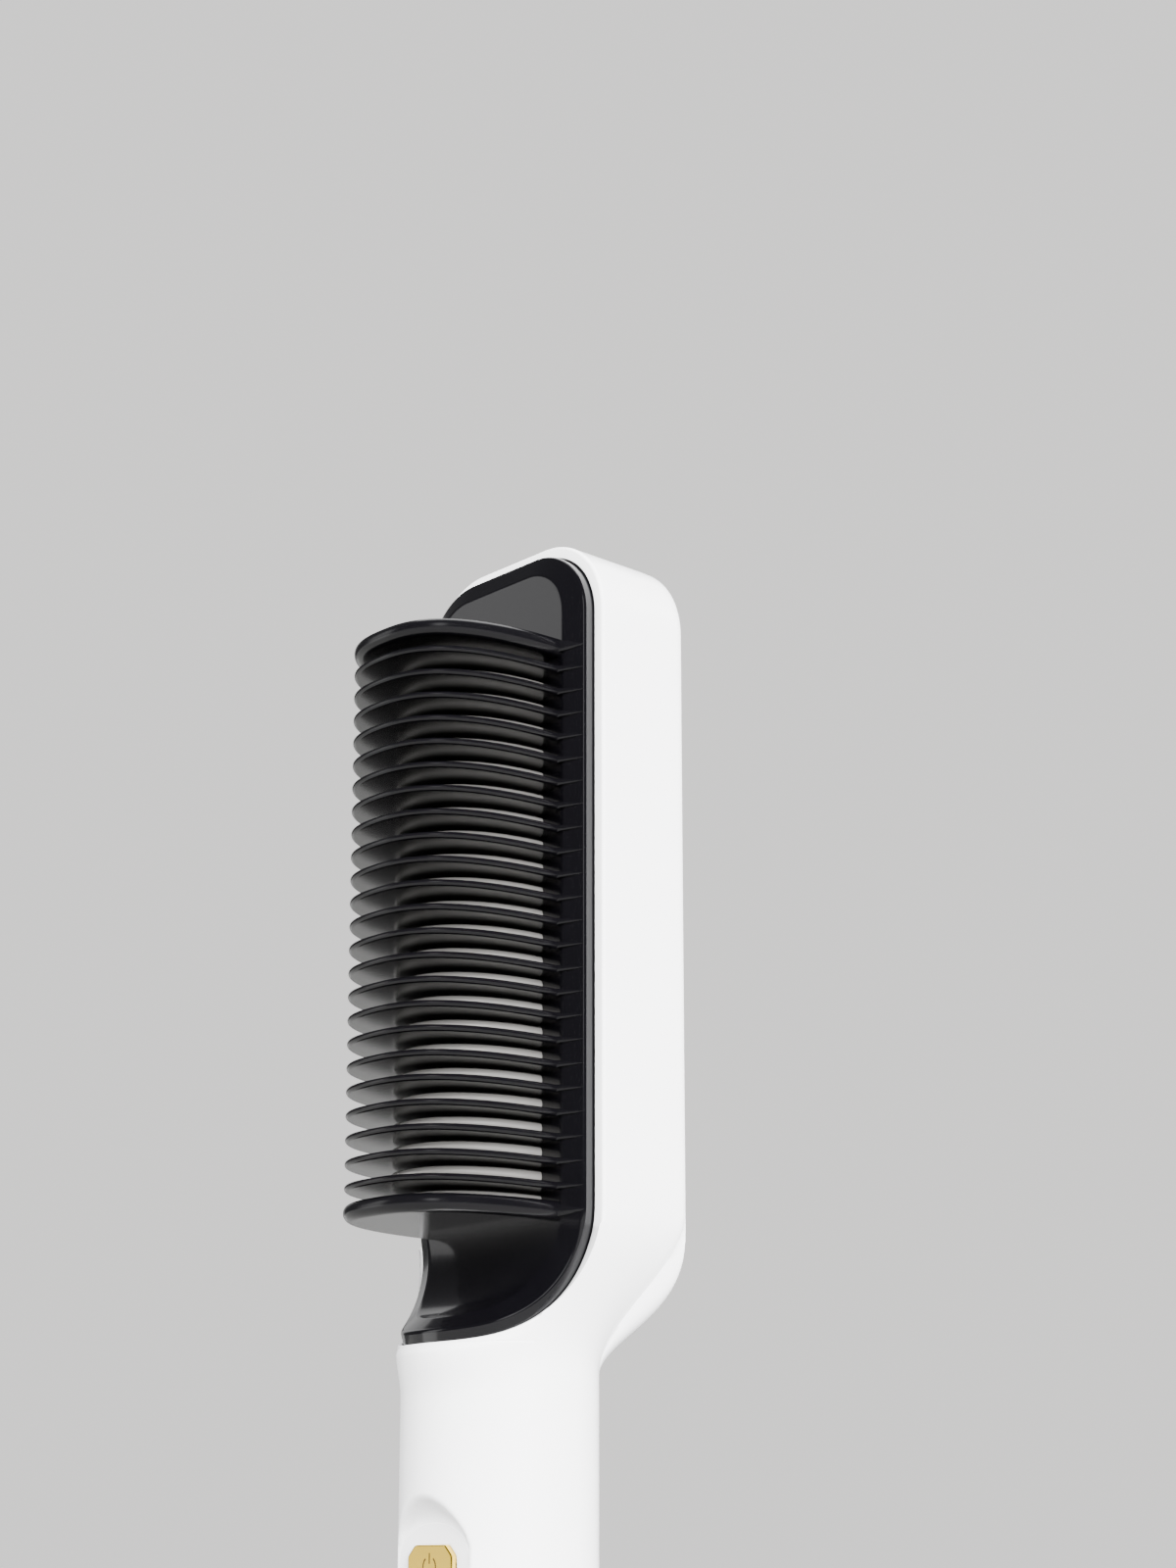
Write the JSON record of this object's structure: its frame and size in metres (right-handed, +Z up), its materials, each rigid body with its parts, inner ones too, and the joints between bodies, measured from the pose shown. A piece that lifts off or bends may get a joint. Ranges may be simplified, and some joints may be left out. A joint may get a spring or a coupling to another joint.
{
  "type": "hot comb",
  "caption": "Upright hot comb with a round white handle, a wide head, black comb fins over heated metal blades, a gold-coloured power button and a framed back panel.",
  "frame": {"origin": "middle of the overall box, on the flat face of the tail that the comb stands on", "axes": "+Z up the handle towards the head, the comb faces -Y, the back panel faces +Y"},
  "size_m": [0.0466, 0.0496, 0.275],
  "materials": {
    "white_shell": "polished white",
    "black_plastic": "polished black",
    "blade_metal": "dark ceramic-coated",
    "ceramic": "fired ceramic",
    "film": "amber film",
    "steel": "plain steel",
    "gold_trim": "metallised pale gold",
    "white_panel": "high gloss white",
    "clear_guide": "clear",
    "board_green": "green solder mask",
    "dark_plastic": "fine texture",
    "grey_plastic": "plain",
    "component_red": "moulded red",
    "shield_mica": "layered sheet",
    "lead_jacket": "silicone jacket",
    "brass_contact": "plain brass"
  },
  "bodies": {
    "housing": {"main_housing": "white_shell", "comb_cover": "black_plastic", "heated_blades": "blade_metal", "ceramic_elements": "ceramic", "insulating_film": "film", "clamp_plate": "steel", "clamp_screws": "steel", "thermistor": "dark_plastic", "thermal_fuse": "steel", "heat_shield": "shield_mica", "shield_screws": "steel", "cover_screws": "steel", "gold_frame": "gold_trim", "back_panel": "white_panel", "control_panel": "white_panel", "light_guide": "clear_guide", "circuit_board": "board_green", "push_switches": "dark_plastic", "temperature_lights": "clear_guide", "triac": "dark_plastic", "filter_capacitor": "component_red", "board_fuse": "ceramic", "board_screws": "steel", "heater_leads": "lead_jacket", "sensor_leads": "lead_jacket", "mains_leads": "lead_jacket", "tail_cap": "white_shell", "tail_screws": "steel", "contact_carrier": "dark_plastic", "contact_pins": "brass_contact"},
    "power": {"power_button": "gold_trim", "power_plunger": "grey_plastic"},
    "plus": {"plus_button": "gold_trim", "plus_plunger": "grey_plastic"},
    "minus": {"minus_button": "gold_trim", "minus_plunger": "grey_plastic"},
    "swivel": {"swivel_gland": "dark_plastic", "gland_clip": "steel", "slip_rings": "brass_contact"}
  },
  "joints": [
    {"name": "power_press", "type": "slide", "parent": "housing", "child": "power", "axis": [0, 1, 0], "range_m": [0, 0.0004], "stiffness_N_per_m": 800},
    {"name": "plus_press", "type": "slide", "parent": "housing", "child": "plus", "axis": [0, 1, 0], "range_m": [0, 0.0004], "stiffness_N_per_m": 800},
    {"name": "minus_press", "type": "slide", "parent": "housing", "child": "minus", "axis": [0, 1, 0], "range_m": [0, 0.0004], "stiffness_N_per_m": 800},
    {"name": "cord_swivel", "type": "hinge", "parent": "housing", "child": "swivel", "pos_m": [0, 0.0033, 0.008], "axis": [0, 0, 1], "continuous": true}
  ]
}
